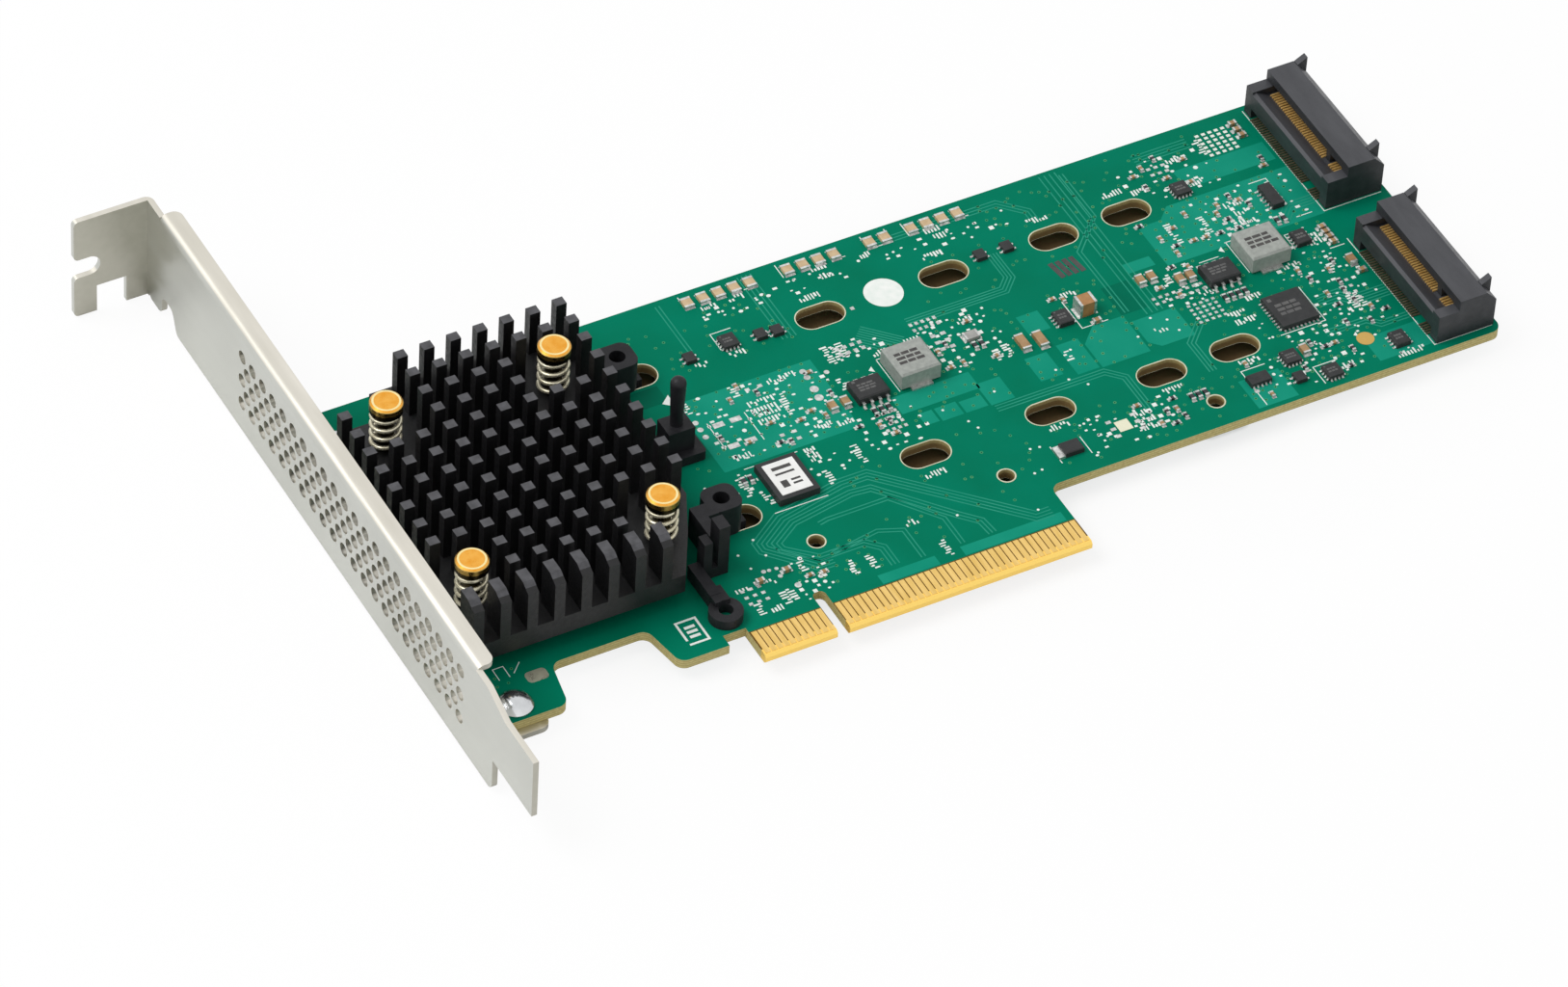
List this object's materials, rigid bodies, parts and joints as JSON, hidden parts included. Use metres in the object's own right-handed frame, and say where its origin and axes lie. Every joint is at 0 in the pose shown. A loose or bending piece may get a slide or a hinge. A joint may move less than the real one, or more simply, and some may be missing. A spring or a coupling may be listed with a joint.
{
  "type": "raid controller card",
  "caption": "Half-height raid controller expansion card with a pin-fin heat sink, full-height vented bracket and edge sockets for flat drives.",
  "frame": {"origin": "centre of the key notch, on the bottom edge of the contact fingers, half way through the board", "axes": "+X from the bracket to the drive sockets, +Y from the fingers to the board's top edge, +Z out of the component side"},
  "size_m": [0.1805, 0.12, 0.019],
  "materials": {
    "board": "green solder mask over glass laminate, satin",
    "gold_plating": "gold-plated copper, smooth",
    "tinned": "tinned copper, dull silver",
    "bracket_steel": "nickel-plated sheet steel, satin",
    "rivet_steel": "plated steel, polished dome",
    "heat_sink_black": "black anodised, matte",
    "push_pin_brass": "plain turned brass",
    "spring_steel": "bright spring wire",
    "chip_lid": "nickel-plated, matte",
    "thermal_pad": "soft grey pad",
    "substrate": "dark green laminate",
    "socket_plastic": "dark grey moulded plastic",
    "support_plastic": "black moulded plastic",
    "chip_plastic": "black moulded epoxy",
    "label_paper": "plain paper label",
    "ferrite": "grey pressed ferrite",
    "ceramic": "fired tan ceramic",
    "bulk_ceramic": "fired brown ceramic",
    "resistor_black": "glazed black film on ceramic",
    "sensor_grey": "pale grey moulded plastic"
  },
  "bodies": {
    "root": {"bare_pads": "gold_plating", "bracket_rivets": "rivet_steel", "bridge_chip": "chip_plastic", "bulk_capacitor": "bulk_ceramic", "circuit_board": "board", "clock_oscillator": "chip_plastic", "clock_terminal": "tinned", "contact_fingers": "gold_plating", "controller_lid": "chip_lid", "controller_substrate": "substrate", "drive_power_controller": "chip_plastic", "edge_capacitors": "ceramic", "filter_chips": "ceramic", "flash_label": "label_paper", "flash_memory": "chip_plastic", "heat_sink": "heat_sink_black", "inductor_terminals": "tinned", "io_bracket": "bracket_steel", "logic_chips": "chip_plastic", "lower_drive_socket": "socket_plastic", "lower_drive_support": "support_plastic", "lower_socket_contacts": "gold_plating", "plated_rings": "tinned", "power_chip_leads": "tinned", "power_chips": "chip_plastic", "power_inductors": "ferrite", "push_pin_springs": "spring_steel", "push_pins": "push_pin_brass", "regulator_chips": "chip_plastic", "resistors": "resistor_black", "small_capacitors": "ceramic", "switch_chip": "chip_plastic", "temperature_sensor": "sensor_grey", "thermal_pad": "thermal_pad", "transistors": "chip_plastic", "upper_drive_socket": "socket_plastic", "upper_drive_support": "support_plastic", "upper_socket_contacts": "gold_plating", "upright_capacitors": "ceramic"}
  },
  "joints": []
}
